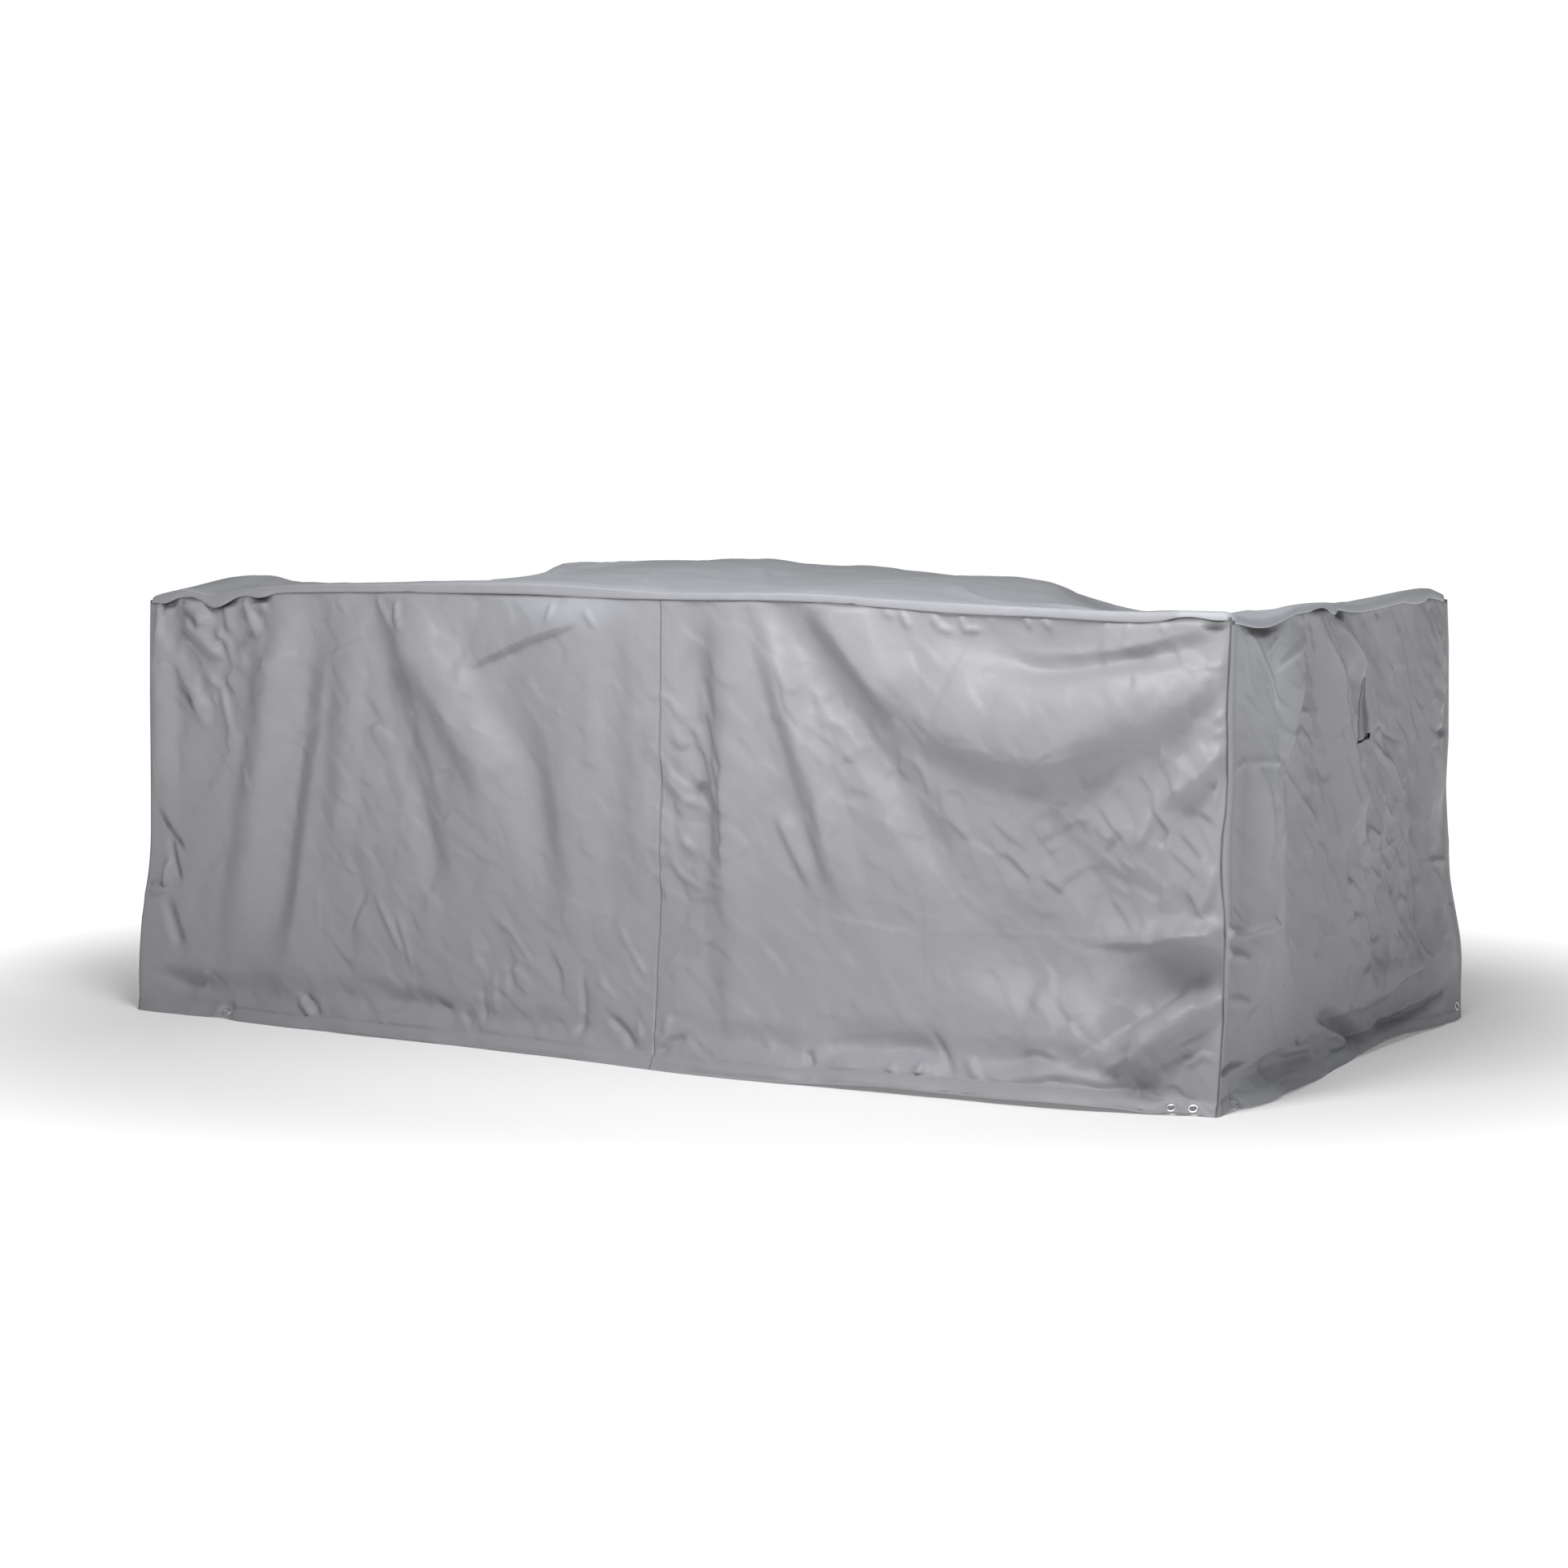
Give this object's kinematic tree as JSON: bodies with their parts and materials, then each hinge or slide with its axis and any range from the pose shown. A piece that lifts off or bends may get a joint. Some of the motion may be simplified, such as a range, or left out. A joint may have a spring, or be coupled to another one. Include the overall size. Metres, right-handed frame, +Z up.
{
  "type": "patio furniture cover",
  "caption": "Loose fitted rectangular cover of coated cloth with a hooded side vent and metal eyelets in its hem, for a garden table with chairs around it.",
  "frame": {"origin": "the underside of the top at the middle of the rim's rectangle, where the cover rests on furniture", "axes": "+X along the long walls towards the vented wall, +Y from the front wall to the back wall, +Z up"},
  "size_m": [2.5721, 1.4358, 0.9739],
  "materials": {
    "cover_cloth": "matt woven polyester with a coated back",
    "hem_cloth": "the same cloth, folded and stitched as a hem",
    "eyelet_metal": "bright plated steel, rolled"
  },
  "bodies": {
    "root": {"top_panel": "cover_cloth", "front_panel_left": "cover_cloth", "front_panel_right": "cover_cloth", "side_panel_right": "cover_cloth", "side_panel_left": "cover_cloth", "back_panel_left": "cover_cloth", "back_panel_right": "cover_cloth", "vent_hood": "cover_cloth", "hem_strip_front_left": "hem_cloth", "hem_strip_front_right": "hem_cloth", "hem_strip_right_front": "hem_cloth", "hem_strip_right_back": "hem_cloth", "hem_strip_back_right": "hem_cloth", "hem_strip_back_left": "hem_cloth", "hem_strip_left_back": "hem_cloth", "hem_strip_left_front": "hem_cloth", "eyelet_1": "eyelet_metal", "eyelet_2": "eyelet_metal", "eyelet_3": "eyelet_metal", "eyelet_4": "eyelet_metal", "eyelet_5": "eyelet_metal", "eyelet_6": "eyelet_metal", "eyelet_7": "eyelet_metal", "eyelet_8": "eyelet_metal", "eyelet_9": "eyelet_metal"}
  },
  "joints": []
}
